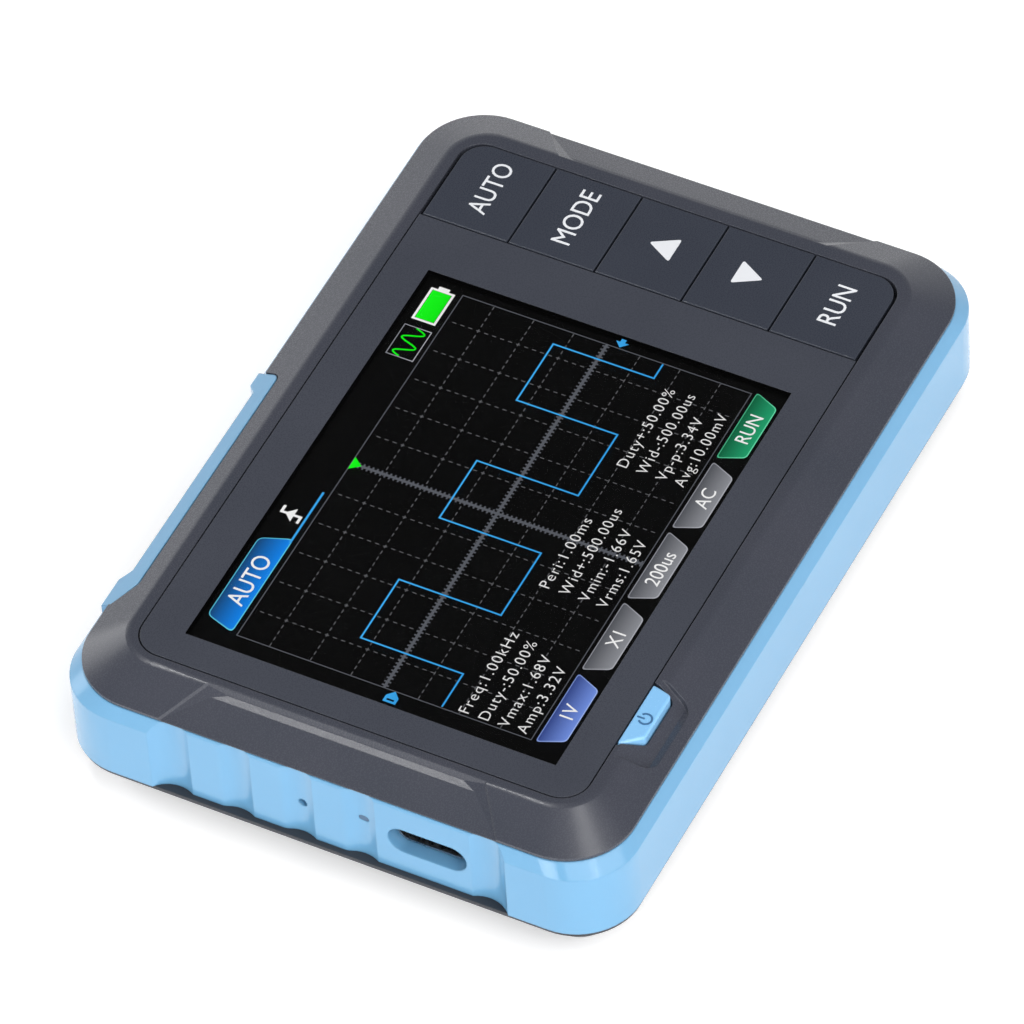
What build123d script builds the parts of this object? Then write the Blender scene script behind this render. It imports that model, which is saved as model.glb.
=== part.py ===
"""Pocket digital oscilloscope, lying on its back, as an assembly of separate pieces.

Millimetres. The origin is at the middle of the footprint on the surface it rests on. +Z points out
of the screen, +X runs from the USB end to the key end, and +Y runs towards the signal jack side.
"""
import os

from build123d import *

# ---- overall size ----
LENGTH = 99.0
WIDTH = 69.5
HEIGHT = 19.5
CORNER_R = 7.7

# ---- heights of the stack ----
BASE_EDGE_Z = 5.15       # the bottom cover's bevel ends here
FRAME_Z = 5.7            # bottom cover meets middle frame
FRAME_BEVEL_Z = 14.9     # the frame's upper bevel starts here
COVER_Z = 16.4           # middle frame meets top cover
LIP_Z = 16.95            # the top cover's slope starts here
ROOF_Z = 17.0            # underside of the top cover's roof
PANEL_Z = 18.5           # underside of the front panel
KEY_TOP_Z = 19.45
KEY_BAY_Z = 17.45
BOARD_BOTTOM_Z = 12.6
BOARD_TOP_Z = 13.6
SCREEN_Z = 18.4          # top of the display glass

# ---- outlines, as half lengths and half widths ----
SHADOW_GAP = (0.15, 0.4) # height and depth of the dark line between the top cover and the frame
EDGE_STEP = 1.05         # the frame stands out this far beyond the top cover
BASE_STEP = 0.2          # the bottom cover sits this far inside the frame
LIP_X = LENGTH / 2 - EDGE_STEP
LIP_Y = WIDTH / 2 - EDGE_STEP
LIP_R = 8.0
FLAT_X = 43.5            # edge of the top cover's flat face
FLAT_Y = 29.1
FLAT_R = 5.0
SHOULDER_R = 1.5         # rounding between the flat face and the slope
BASE_X = LENGTH / 2 - BASE_STEP
BASE_Y = WIDTH / 2 - BASE_STEP
BASE_R = CORNER_R - BASE_STEP
BASE_BEVEL = 4.0
INNER_X = 46.2           # inside of the middle frame
INNER_Y = 32.4
INNER_R = 6.0
RIM = 1.2                # thickness of the covers' location rims
RIM_GAP = 0.1
RIM_HEIGHT = 1.2
COVER_HOLLOW_X = 44.6
COVER_HOLLOW_Y = 29.8

# ---- front panel, window and display ----
SEAM = 0.2
PANEL_LEFT = -42.24
PANEL_RIGHT = 28.7
PANEL_Y = 27.6
PANEL_R = 3.3
WINDOW_LEFT = -38.2
WINDOW_RIGHT = 21.4
WINDOW_Y = (-23.1, 22.75)
GLASS_LEFT = -40.2
GLASS_RIGHT = 27.6
GLASS_Y = 25.0
GLASS_BOTTOM_Z = 17.0
BACKLIGHT_RIGHT = 24.8
BACKLIGHT_Z = 16.1
OPENING_GAP = 0.25

# ---- keys ----
KEY_NAMES = ("auto", "mode", "up", "down", "run")
KEY_PITCH = 11.0
KEY_GAP = 0.25
KEY_LEFT = 28.95
KEY_RIGHT = 41.6
KEY_R = 3.0
KEY_THICKNESS = 1.55
KEY_X = 35.3
KEY_STEM = 3.2
KEY_STEM_Z = 16.95
KEY_STEM_GAP = 0.3
SWITCH_SIZE = 4.5
SWITCH_TOP_Z = 15.95
PLUNGER_R = 1.1
PLUNGER_GAP = 0.05
KEY_TRAVEL = 0.35

# ---- power key ----
POWER_INNER_Y = -27.75
POWER_OUTER_Y = -30.2
POWER_INNER_X = (-32.7, -23.3)
POWER_OUTER_X = (-30.6, -23.9)
POWER_TOP_Z = 19.42
POWER_EDGE_R = 0.35      # rounding of its outer edge
SCOOP_Y = (-28.3, -31.7, -32.6)   # the relief's slope starts, turns and rises again to its edge
SCOOP_Z = (17.4, 17.64)
SCOOP_X = (-33.7, -23.1)  # the relief's ends beside the panel
SCOOP_REACH_Y = (-27.0, -32.3)
SCOOP_CONVERGE = 0.6     # its ends come this much closer towards the edge
SCOOP_CORNER_R = 1.6
SCOOP_BOTTOM_Z = 16.9
SCOOP_FLARE = 18         # degrees by which its ends lean outwards
POWER_X = -28.1
POWER_SWITCH_Y = -28.9
POWER_SWITCH_TOP_Z = 15.3
POWER_PLUNGER_TOP_Z = 16.1
POWER_FLANGE_Z = (16.15, 16.85)

# ---- recesses in the two short ends ----
END_INNER_X = 43.4
END_INNER_Y = 17.1
END_OUTER_Y = 20.9
END_WALL = 0.3
END_WALL_DEPTH = 0.75
END_STRIP = 0.8
END_STRIP_DEPTH = 0.25
END_FLOOR_EDGE_Z = 16.7
END_STEP = 0.15          # the side walls drop steeply at first
END_STEP_DEPTH = 0.25
END_FOOT_Y = 16.3        # and then run down gently to the floor

# ---- grip flutes in the frame's short ends ----
GRIP_X = 48.65
GRIP_INNER_Y = 21.0
GRIP_OUTER_Y = 21.85
FLUTE_PITCH = 7.7
FLUTE_FIRST_Y = 17.3
FLUTE_WIDTH = 3.7
FLUTE_DEPTH = 0.5
FLUTE_PLACES = (0, 1, 2, 3, 5)   # the fifth place is left plain for the USB opening
FLUTE_SOFT_R = 2.0

# ---- openings in the USB end ----
USB_Y = -12.1
USB_Z = 10.95
USB_OPENING = (9.7, 3.8)
USB_SHELL = (8.94, 3.26)
USB_MOUTH_X = -47.1
USB_LENGTH = 7.35
USB_WALL = 0.3
RESET_Y = 3.5
RESET_Z = 10.75
RESET_R = 0.55
LIGHT_Y = -4.15
LIGHT_Z = 11.9
LIGHT_SLOT = (1.3, 0.8)

# ---- signal side: raised saddle, jack and calibration contact ----
SADDLE_LEFT = -36.0
SADDLE_RIGHT = 1.1
SADDLE_Y = 31.5
SADDLE_CORNER_R = 1.3
SADDLE_TOP_Z = 18.2
SADDLE_EDGE_Z = 16.1
SADDLE_BOTTOM_Z = 10.5
SADDLE_SLANT = 3.1       # of its end on the USB side
SADDLE_SPLAY = 2.4       # of its other end
PORT_LEFT = -33.0
PORT_RIGHT = 1.1
PORT_Y = 33.6
PORT_SLANT = 2.0
NOTCH_GAP = 0.12
JACK_X = -25.0
JACK_Z = 13.15
JACK_R = 2.5
JACK_ENTRY_R = 1.8
JACK_ENTRY_DEPTH = 1.8
JACK_BORE_R = 1.3
JACK_BORE_DEPTH = 4.5
JACK_END_Y = 33.8
CAL_X = -11.0
CAL_R = 1.0
CAL_Z = BOARD_TOP_Z + CAL_R
PLATE_Y = (33.35, 33.8)
PLATE_TOP_Z = 16.45
PLATE_BOTTOM_Z = 7.4

# ---- circuit board, battery and screws ----
RIBBON_Z = BOARD_TOP_Z + 1.0
BOARD_X = 45.0
BOARD_Y = 30.3
BOARD_R = 5.5
SCREW_X = 41.5
SCREW_Y = 27.4
SCREW_R = 1.0
SCREW_HEAD_R = 1.9
SCREW_HEAD = 1.4
SCREW_SEAT_Z = 6.2
SCREW_TIP_Z = 16.4
BOSS_R = 2.4
POST_R = 3.2
COUNTERBORE_R = 2.2
BASE_FLOOR_Z = 1.8
CELL = (48.0, 36.0, 5.8)
CELL_CENTRE = (-2.0, 0.0)
PAD_THICKNESS = 0.4
LEAD_R = 0.5


def block(x_low, x_high, y_low, y_high, z_low, z_high):
    """A box given by its lowest and highest corners."""
    size = Box(x_high - x_low, y_high - y_low, z_high - z_low)
    return Pos((x_low + x_high) / 2, (y_low + y_high) / 2, (z_low + z_high) / 2) * size


def slab(half_x, half_y, radius, z_low, z_high):
    """A rounded rectangle about the origin, extruded between two heights."""
    outline = Pos(0, 0, z_low) * RectangleRounded(2 * half_x, 2 * half_y, radius)
    return extrude(outline, amount=z_high - z_low)


def bevel(low, high, z_low, z_high):
    """A solid between two rounded rectangles, each given as half length, half width and radius."""
    bottom = Pos(0, 0, z_low) * RectangleRounded(2 * low[0], 2 * low[1], low[2])
    top = Pos(0, 0, z_high) * RectangleRounded(2 * high[0], 2 * high[1], high[2])
    return loft([bottom, top], ruled=True)


def prism(points, z_low, z_high):
    """A polygon extruded between two heights."""
    outline = make_face(Polyline(*points, close=True))
    return extrude(Pos(0, 0, z_low) * outline, amount=z_high - z_low)


def upright(x, y, z_low, z_high, radius):
    """A cylinder along Z."""
    return Pos(x, y, (z_low + z_high) / 2) * Cylinder(radius, z_high - z_low)


def across_y(x, z, y_low, y_high, radius):
    """A cylinder along Y."""
    return Pos(x, (y_low + y_high) / 2, z) * Rot(90, 0, 0) * Cylinder(radius, y_high - y_low)


def across_x(y, z, x_low, x_high, radius):
    """A cylinder along X."""
    return Pos((x_low + x_high) / 2, y, z) * Rot(0, 90, 0) * Cylinder(radius, x_high - x_low)


def above(first, second, third):
    """The half-space over the plane through three points, as a large block."""
    origin = Vector(*first)
    normal = (Vector(*second) - origin).cross(Vector(*third) - origin)
    if normal.Z < 0:
        normal = normal * -1
    plane = Plane(origin=first, z_dir=normal)
    return plane * Box(300, 300, 60, align=(Align.CENTER, Align.CENTER, Align.MIN))


def stadium_x(y, z, x_low, x_high, length, height):
    """A slot-shaped bar along X, rounded at both ends of its length."""
    profile = Plane(origin=(x_low, y, z), x_dir=(0, 1, 0), z_dir=(1, 0, 0)) * SlotOverall(length, height)
    return extrude(profile, amount=x_high - x_low)


def screw_places():
    """Centres of the four case screws."""
    return [(sx * SCREW_X, sy * SCREW_Y) for sx in (-1, 1) for sy in (-1, 1)]


def rim_ring(z_low, z_high):
    """A location rim that fits just inside the middle frame."""
    outer = slab(INNER_X - RIM_GAP, INNER_Y - RIM_GAP, INNER_R - RIM_GAP, z_low, z_high)
    inset = RIM_GAP + RIM
    return outer - slab(INNER_X - inset, INNER_Y - inset, INNER_R - inset, z_low, z_high)


def key_centre_y(index):
    """Y of a key's centre: the first key is nearest the signal side."""
    return (2 - index) * KEY_PITCH


# ---------------------------------------------------------------- top cover

def cover_shape():
    """The top cover's outside: a short upright lip and a slope up to the flat face."""
    lip = slab(LIP_X, LIP_Y, LIP_R, COVER_Z, LIP_Z)
    slope = bevel((LIP_X, LIP_Y, LIP_R), (FLAT_X, FLAT_Y, FLAT_R), LIP_Z, HEIGHT)
    shoulder = slope.faces().sort_by(Axis.Z)[-1].edges()
    return lip + fillet(shoulder, SHOULDER_R)


def end_recess():
    """The shallow recess in the slope of the +X end, with a stepped back wall and ramped sides."""
    strip_x = END_INNER_X + END_WALL
    floor_x = strip_x + END_STRIP
    strip_z = HEIGHT - END_WALL_DEPTH
    floor_z = strip_z - END_STRIP_DEPTH
    profile = Plane.XZ * make_face(Polyline(
        (END_INNER_X, HEIGHT + 1), (END_INNER_X, HEIGHT), (strip_x, strip_z), (floor_x, floor_z),
        (LIP_X, END_FLOOR_EDGE_Z), (LIP_X + 1, END_FLOOR_EDGE_Z), (LIP_X + 1, HEIGHT + 1), close=True))
    region = extrude(profile, amount=END_OUTER_Y + 1, both=True)
    for side in (-1, 1):
        rim_inner = (END_INNER_X, side * END_INNER_Y, HEIGHT)
        rim_outer = (LIP_X, side * END_OUTER_Y, LIP_Z)
        step_inner = (END_INNER_X, side * (END_INNER_Y - END_STEP), HEIGHT - END_STEP_DEPTH)
        step_outer = (LIP_X, side * (END_OUTER_Y - END_STEP), LIP_Z - END_STEP_DEPTH)
        region &= above(rim_inner, rim_outer, step_inner)
        region &= above(step_inner, step_outer, (floor_x, side * END_FOOT_Y, floor_z))
    return region


def power_outline(offset):
    """The power key's outline: a trapezoid, wider beside the panel, with two soft outer corners."""
    shape = make_face(Polyline(
        (POWER_INNER_X[0], POWER_INNER_Y), (POWER_INNER_X[1], POWER_INNER_Y),
        (POWER_OUTER_X[1], POWER_OUTER_Y), (POWER_OUTER_X[0], POWER_OUTER_Y), close=True))
    outer = shape.vertices().sort_by(Axis.Y)[:2]
    shape = fillet(outer, 0.7)
    return shape if offset == 0 else offset_outline(shape, offset)


def offset_outline(shape, amount):
    """An outline grown by an even amount."""
    return make_face(offset(shape.wire(), amount, kind=Kind.INTERSECTION))


def finger_scoop():
    """The relief around the power key: a slope steeper than the cover's, then a short rise."""
    start, turn, edge = (SCOOP_Y[0], HEIGHT), (SCOOP_Y[1], SCOOP_Z[0]), (SCOOP_Y[2], SCOOP_Z[1])
    relief = above((0, *start), (1, *start), (0, *turn))
    relief &= above((0, *turn), (1, *turn), (0, *edge))
    left, right = SCOOP_X
    inner, outer = SCOOP_REACH_Y
    outline = make_face(Polyline(
        (left, inner), (right, inner), (right - SCOOP_CONVERGE, outer), (left + SCOOP_CONVERGE, outer), close=True))
    outline = fillet(outline.vertices().sort_by(Axis.Y)[:2], SCOOP_CORNER_R)
    well = extrude(Pos(0, 0, SCOOP_BOTTOM_Z) * outline, amount=HEIGHT + 0.4 - SCOOP_BOTTOM_Z, taper=-SCOOP_FLARE)
    return relief & well


def saddle_outline(gap):
    """The saddle's plan outline, grown by a gap on the sides that meet the top cover."""
    outline = make_face(Polyline(
        (SADDLE_LEFT - gap, 40), (SADDLE_LEFT - gap, LIP_Y - 0.3),
        (SADDLE_LEFT - gap + SADDLE_SLANT, SADDLE_Y - gap), (SADDLE_RIGHT + gap, SADDLE_Y - gap),
        (SADDLE_RIGHT + gap + SADDLE_SPLAY, 40), close=True))
    ends = outline.vertices().sort_by(Axis.Y)[:2]
    return fillet(ends, SADDLE_CORNER_R)


def display_opening():
    """The opening in the roof that the display sits in."""
    return block(GLASS_LEFT - OPENING_GAP, GLASS_RIGHT + OPENING_GAP, -GLASS_Y - OPENING_GAP,
                 GLASS_Y + OPENING_GAP, BACKLIGHT_Z - 1, HEIGHT)


def panel_outline(gap):
    """The front panel's outline: rounded at the two corners away from the keys."""
    shape = make_face(Polyline(
        (PANEL_LEFT - gap, -PANEL_Y - gap), (PANEL_RIGHT, -PANEL_Y - gap),
        (PANEL_RIGHT, PANEL_Y + gap), (PANEL_LEFT - gap, PANEL_Y + gap), close=True))
    return fillet(shape.vertices().sort_by(Axis.X)[:2], PANEL_R + gap)


def key_bay():
    """The pocket for the five keys, rounded at its two outer corners."""
    shape = make_face(Polyline(
        (PANEL_RIGHT, -PANEL_Y - SEAM), (KEY_RIGHT + 0.1, -PANEL_Y - SEAM),
        (KEY_RIGHT + 0.1, PANEL_Y + SEAM), (PANEL_RIGHT, PANEL_Y + SEAM), close=True))
    shape = fillet(shape.vertices().sort_by(Axis.X)[-2:], KEY_R)
    return extrude(Pos(0, 0, KEY_BAY_Z) * shape, amount=HEIGHT - KEY_BAY_Z)


def top_cover():
    """The dark top shell, with its pockets for the panel, keys and power key."""
    cover = cover_shape()
    gap, depth = SHADOW_GAP
    line = slab(LIP_X, LIP_Y, LIP_R, COVER_Z, COVER_Z + gap)
    cover -= line - slab(LIP_X - depth, LIP_Y - depth, LIP_R - depth, COVER_Z, COVER_Z + gap)
    cover -= slab(COVER_HOLLOW_X, COVER_HOLLOW_Y, 4.5, COVER_Z, ROOF_Z)
    cover += rim_ring(COVER_Z - RIM_HEIGHT, COVER_Z)
    cover += block(GLASS_RIGHT + OPENING_GAP, KEY_RIGHT + 0.9, -28.6, 28.6, 16.1, KEY_BAY_Z)
    cover -= extrude(Pos(0, 0, PANEL_Z) * panel_outline(SEAM), amount=HEIGHT - PANEL_Z)
    cover -= key_bay()
    for x, y in screw_places():
        cover += upright(x, y, BOARD_TOP_Z, ROOF_Z + 0.3, BOSS_R)
    cover -= display_opening()
    cover -= finger_scoop()
    cover -= extrude(Pos(0, 0, ROOF_Z - 1) * power_outline(0.2), amount=4)
    cover -= end_recess()
    cover -= mirror(end_recess(), about=Plane.YZ)
    cover -= extrude(Pos(0, 0, COVER_Z - RIM_HEIGHT - 0.5) * saddle_outline(NOTCH_GAP), amount=8)
    cover -= block(SADDLE_LEFT, SADDLE_RIGHT, COVER_HOLLOW_Y, LIP_Y, COVER_Z - RIM_HEIGHT, COVER_Z)
    cover -= across_y(JACK_X, JACK_Z, 20, 40, JACK_R + 0.3)
    hole = KEY_STEM / 2 + KEY_STEM_GAP
    for index in range(len(KEY_NAMES)):
        y = key_centre_y(index)
        cover -= block(KEY_X - hole, KEY_X + hole, y - hole, y + hole, 15, HEIGHT)
    for x, y in screw_places():
        cover -= upright(x, y, BOARD_TOP_Z, SCREW_TIP_Z + 0.4, SCREW_R)
    return cover


# ---------------------------------------------------------------- panel, window and display

def front_panel():
    """The flush bezel around the display window."""
    plate = extrude(Pos(0, 0, PANEL_Z) * panel_outline(0), amount=HEIGHT - PANEL_Z)
    return plate - block(WINDOW_LEFT, WINDOW_RIGHT, *WINDOW_Y, PANEL_Z, HEIGHT)


def display_window():
    """The clear pane in the bezel."""
    return block(WINDOW_LEFT, WINDOW_RIGHT, *WINDOW_Y, PANEL_Z, HEIGHT)


def lcd_glass():
    """The display's glass cell."""
    return block(GLASS_LEFT, GLASS_RIGHT, -GLASS_Y, GLASS_Y, GLASS_BOTTOM_Z, SCREEN_Z)


def lcd_backlight():
    """The display's backlight, shorter than the glass so that its ribbon can be bonded on."""
    return block(GLASS_LEFT, BACKLIGHT_RIGHT, -GLASS_Y, GLASS_Y, BACKLIGHT_Z, GLASS_BOTTOM_Z)


def lcd_ribbon():
    """The flat ribbon that folds from the glass down to the board's connector."""
    low, high = RIBBON_Z, GLASS_BOTTOM_Z
    outside = block(25.2, 27.4, -8, 8, low - 0.1, high)
    fold = fillet(outside.edges().filter_by(Axis.Y).group_by(Axis.X)[-1], 1.1)
    core = block(24.8, 27.2, -8, 8, low + 0.1, high - 0.2)
    core = fillet(core.edges().filter_by(Axis.Y).group_by(Axis.X)[-1], 0.9)
    return fold - core


def lcd_connector():
    """The ribbon's connector on the board."""
    body = block(20.6, 25.2, -9.5, 9.5, BOARD_TOP_Z, BOARD_TOP_Z + 1.5)
    return body - block(23.0, 25.2, -8.2, 8.2, RIBBON_Z - 0.2, RIBBON_Z + 0.2)


# ---------------------------------------------------------------- keys and switches

def key_cap(index):
    """A flush key with a stem that reaches its switch."""
    y = key_centre_y(index)
    low_y = y - (KEY_PITCH - KEY_GAP) / 2
    high_y = y + (KEY_PITCH - KEY_GAP) / 2
    cap = block(KEY_LEFT, KEY_RIGHT, low_y, high_y, KEY_TOP_Z - KEY_THICKNESS, KEY_TOP_Z)
    uprights = cap.edges().filter_by(Axis.Z).group_by(Axis.X)[-1]
    if index == 0:
        cap = fillet(uprights.sort_by(Axis.Y)[-1:], KEY_R)
    if index == len(KEY_NAMES) - 1:
        cap = fillet(uprights.sort_by(Axis.Y)[:1], KEY_R)
    cap = fillet(cap.faces().sort_by(Axis.Z)[-1].edges(), 0.15)
    half = KEY_STEM / 2
    return cap + block(KEY_X - half, KEY_X + half, y - half, y + half, KEY_STEM_Z, KEY_TOP_Z - 1)


def switch_body(x, y, top_z, size):
    """A push switch's case, with a well for its plunger."""
    half = size / 2
    case = block(x - half, x + half, y - half, y + half, BOARD_TOP_Z, top_z)
    case = fillet(case.edges().filter_by(Axis.Z), 0.3)
    return case - upright(x, y, top_z - KEY_TRAVEL - 0.3, top_z, PLUNGER_R + PLUNGER_GAP)


def switch_plunger(x, y, case_top_z, top_z):
    """A push switch's plunger, at rest."""
    return upright(x, y, case_top_z - 0.15, top_z, PLUNGER_R)


def power_key():
    """The light trapezoid key, with a flange that keeps it in the cover."""
    cap = extrude(Pos(0, 0, POWER_FLANGE_Z[1]) * power_outline(0), amount=POWER_TOP_Z - POWER_FLANGE_Z[1])
    rim = cap.faces().sort_by(Axis.Z)[-1].edges().sort_by(Axis.Y)
    cap = fillet(rim[:3], POWER_EDGE_R)
    cap = fillet(cap.faces().sort_by(Axis.Z)[-1].edges().sort_by(Axis.Y)[-1:], 0.15)
    low, high = POWER_FLANGE_Z
    flange = block(POWER_INNER_X[0] - 0.4, POWER_INNER_X[1] + 0.4, 0.2 - COVER_HOLLOW_Y,
                   POWER_INNER_Y + 0.6, low, high)
    return cap + flange


# ---------------------------------------------------------------- middle frame

def grip_cutter():
    """The recess in the frame's +X end, with upright flutes and slanted ends."""
    recess = prism([(GRIP_X, -GRIP_INNER_Y), (LENGTH / 2, -GRIP_OUTER_Y), (LENGTH / 2 + 3, -GRIP_OUTER_Y),
                    (LENGTH / 2 + 3, GRIP_OUTER_Y), (LENGTH / 2, GRIP_OUTER_Y), (GRIP_X, GRIP_INNER_Y)],
                   FRAME_Z - 1, COVER_Z)
    radius = (FLUTE_WIDTH ** 2 / 4 + FLUTE_DEPTH ** 2) / (2 * FLUTE_DEPTH)
    for place in FLUTE_PLACES:
        y = FLUTE_FIRST_Y - place * FLUTE_PITCH + FLUTE_WIDTH / 2
        recess += upright(GRIP_X - FLUTE_DEPTH + radius, y, FRAME_Z - 1, COVER_Z, radius)
    return recess


def soften_flutes(frame):
    """Round the +Y side of each flute, and leave the other side crisp."""
    for side in (-1, 1):
        edges = []
        for place in FLUTE_PLACES[1:4]:
            y = FLUTE_FIRST_Y - place * FLUTE_PITCH + FLUTE_WIDTH
            for edge in frame.edges().filter_by(Axis.Z):
                centre = edge.center()
                if abs(centre.Y - y) < 0.02 and abs(centre.X - side * GRIP_X) < 0.02:
                    edges.append(edge)
        frame = fillet(edges, FLUTE_SOFT_R)
    return frame


def saddle():
    """The raised block that carries the signal jack, sloping outwards like the top cover."""
    depth = WIDTH / 2 - SADDLE_Y
    outline = saddle_outline(0) & Pos(JACK_X, SADDLE_Y + depth / 2) * Rectangle(LENGTH, depth)
    body = extrude(Pos(0, 0, SADDLE_BOTTOM_Z) * outline, amount=HEIGHT - SADDLE_BOTTOM_Z)
    roof = above((0, SADDLE_Y, SADDLE_TOP_Z), (1, SADDLE_Y, SADDLE_TOP_Z), (0, WIDTH / 2, SADDLE_EDGE_Z))
    return body - roof


def port_recess():
    """The shallow recess in the saddle's outer face, with slanted ends."""
    edge = WIDTH / 2 + 1
    return prism([(PORT_LEFT, edge), (PORT_LEFT + PORT_SLANT + 0.5, PORT_Y),
                  (PORT_RIGHT - PORT_SLANT - 0.5, PORT_Y), (PORT_RIGHT, edge)], PLATE_BOTTOM_Z - 1.2, HEIGHT)


def middle_frame():
    """The light blue ring between the two covers."""
    frame = slab(LENGTH / 2, WIDTH / 2, CORNER_R, FRAME_Z, FRAME_BEVEL_Z)
    frame += bevel((LENGTH / 2, WIDTH / 2, CORNER_R), (LIP_X, LIP_Y, LIP_R), FRAME_BEVEL_Z, COVER_Z)
    frame -= slab(INNER_X, INNER_Y, INNER_R, FRAME_Z, COVER_Z)
    frame -= grip_cutter()
    frame -= mirror(grip_cutter(), about=Plane.YZ)
    frame = soften_flutes(frame)
    frame += saddle()
    frame -= port_recess()
    frame -= block(PORT_LEFT + 2.6, PORT_RIGHT - 2.6, PLATE_Y[0], PLATE_Y[1] + 1, PLATE_BOTTOM_Z, PLATE_TOP_Z)
    frame -= across_y(JACK_X, JACK_Z, 28, 40, JACK_R + 0.15)
    frame -= across_y(CAL_X, CAL_Z, 28, 40, CAL_R + 0.1)
    frame -= stadium_x(USB_Y, USB_Z, -LENGTH / 2 - 1, -INNER_X + 1, *USB_OPENING)
    frame -= across_x(RESET_Y, RESET_Z, -LENGTH / 2 - 1, -INNER_X + 1, RESET_R)
    frame -= stadium_x(LIGHT_Y, LIGHT_Z, -LENGTH / 2 - 1, -INNER_X + 1, *LIGHT_SLOT)
    return frame


def port_plate():
    """The thin dark plate behind which the jack and the calibration contact sit."""
    plate = block(PORT_LEFT + 2.6, PORT_RIGHT - 2.6, PLATE_Y[0], PLATE_Y[1], PLATE_BOTTOM_Z, PLATE_TOP_Z)
    plate -= across_y(JACK_X, JACK_Z, 28, 40, JACK_R + 0.15)
    return plate - across_y(CAL_X, CAL_Z, 28, 40, CAL_R + 0.1)


# ---------------------------------------------------------------- bottom cover

def bottom_cover():
    """The dark bottom tray, bevelled all round, with four posts for the case screws."""
    low = (BASE_X - BASE_BEVEL, BASE_Y - BASE_BEVEL, BASE_R - BASE_BEVEL)
    tray = bevel(low, (BASE_X, BASE_Y, BASE_R), 0, BASE_EDGE_Z)
    tray += slab(BASE_X, BASE_Y, BASE_R, BASE_EDGE_Z, FRAME_Z)
    tray -= slab(43.4, 28.7, 3.6, BASE_FLOOR_Z, FRAME_Z)
    tray -= slab(INNER_X - 1.3, INNER_Y - 1.3, INNER_R - 1.3, 3.9, FRAME_Z)
    tray += rim_ring(FRAME_Z, FRAME_Z + RIM_HEIGHT)
    tray -= slab(26.0, 15.0, 2.0, -1, 0.3)
    for x, y in screw_places():
        tray += upright(x, y, BASE_FLOOR_Z, SCREW_SEAT_Z + 1.4, POST_R)
        tray += upright(x, y, SCREW_SEAT_Z, BOARD_BOTTOM_Z, BOSS_R)
    for x, y in screw_places():
        tray -= upright(x, y, 0, SCREW_SEAT_Z, COUNTERBORE_R)
        tray -= upright(x, y, 0, BOARD_BOTTOM_Z, SCREW_R + 0.1)
    return tray


def case_screws():
    """Four self-tapping screws with a cross recess."""
    screws = []
    for x, y in screw_places():
        head = upright(x, y, SCREW_SEAT_Z - SCREW_HEAD, SCREW_SEAT_Z, SCREW_HEAD_R)
        head = fillet(head.faces().sort_by(Axis.Z)[0].edges(), 0.5)
        slot_z = (SCREW_SEAT_Z - SCREW_HEAD, SCREW_SEAT_Z - SCREW_HEAD + 0.8)
        head -= block(x - 1.1, x + 1.1, y - 0.22, y + 0.22, *slot_z)
        head -= block(x - 0.22, x + 0.22, y - 1.1, y + 1.1, *slot_z)
        screws.append(head + upright(x, y, SCREW_SEAT_Z, SCREW_TIP_Z, SCREW_R - 0.02))
    return Compound(children=screws)


# ---------------------------------------------------------------- board and what it carries

def main_board():
    """The circuit board, with screw holes and a notch for the signal jack."""
    board = slab(BOARD_X, BOARD_Y, BOARD_R, BOARD_BOTTOM_Z, BOARD_TOP_Z)
    for x, y in screw_places():
        board -= upright(x, y, BOARD_BOTTOM_Z, BOARD_TOP_Z, SCREW_R + 0.15)
    return board - block(JACK_X - 3.0, JACK_X + 3.0, 25.5, BOARD_Y + 1, BOARD_BOTTOM_Z, BOARD_TOP_Z)


def under_board(x, y, length, width, thickness):
    """A component on the board's underside."""
    return block(x - length / 2, x + length / 2, y - width / 2, y + width / 2,
                 BOARD_BOTTOM_Z - thickness, BOARD_BOTTOM_Z)


def input_shield():
    """The pressed metal can over the input circuit, open towards the board."""
    can = under_board(JACK_X, 17.0, 20.0, 13.0, 2.6)
    return can - under_board(JACK_X, 17.0, 19.6, 12.6, 2.4)


def power_inductor():
    """The converter's coil: a square base with a round top."""
    coil = under_board(20.0, -20.0, 5.0, 5.0, 0.8)
    return coil + upright(20.0, -20.0, BOARD_BOTTOM_Z - 2.4, BOARD_BOTTOM_Z - 0.8, 2.3)


def signal_jack():
    """The coaxial input jack: a square base astride the board and a round barrel."""
    base = block(JACK_X - 2.8, JACK_X + 2.8, 25.6, 29.5, JACK_Z - 2.8, JACK_Z + 2.8)
    jack = base + across_y(JACK_X, JACK_Z, 29.5, JACK_END_Y, JACK_R)
    jack -= across_y(JACK_X, JACK_Z, JACK_END_Y - JACK_BORE_DEPTH, JACK_END_Y, JACK_BORE_R)
    return jack - across_y(JACK_X, JACK_Z, JACK_END_Y - JACK_ENTRY_DEPTH, JACK_END_Y, JACK_ENTRY_R)


def jack_insulator():
    """The white insulator at the bottom of the jack's bore."""
    back = JACK_END_Y - JACK_BORE_DEPTH
    return across_y(JACK_X, JACK_Z, back, back + 1.0, JACK_BORE_R) - across_y(JACK_X, JACK_Z, back, back + 1.0, 0.4)


def jack_pin():
    """The jack's centre contact."""
    back = JACK_END_Y - JACK_BORE_DEPTH
    return across_y(JACK_X, JACK_Z, back, back + 2.4, 0.4)


def calibration_contact():
    """The round contact that gives out the test square wave."""
    contact = across_y(CAL_X, CAL_Z, BOARD_Y + 0.1, JACK_END_Y, CAL_R)
    contact -= across_y(CAL_X, CAL_Z, JACK_END_Y - 2.5, JACK_END_Y, 0.5)
    return contact + block(CAL_X - 0.9, CAL_X + 0.9, 27.0, BOARD_Y + 0.5, BOARD_TOP_Z, CAL_Z)


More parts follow.
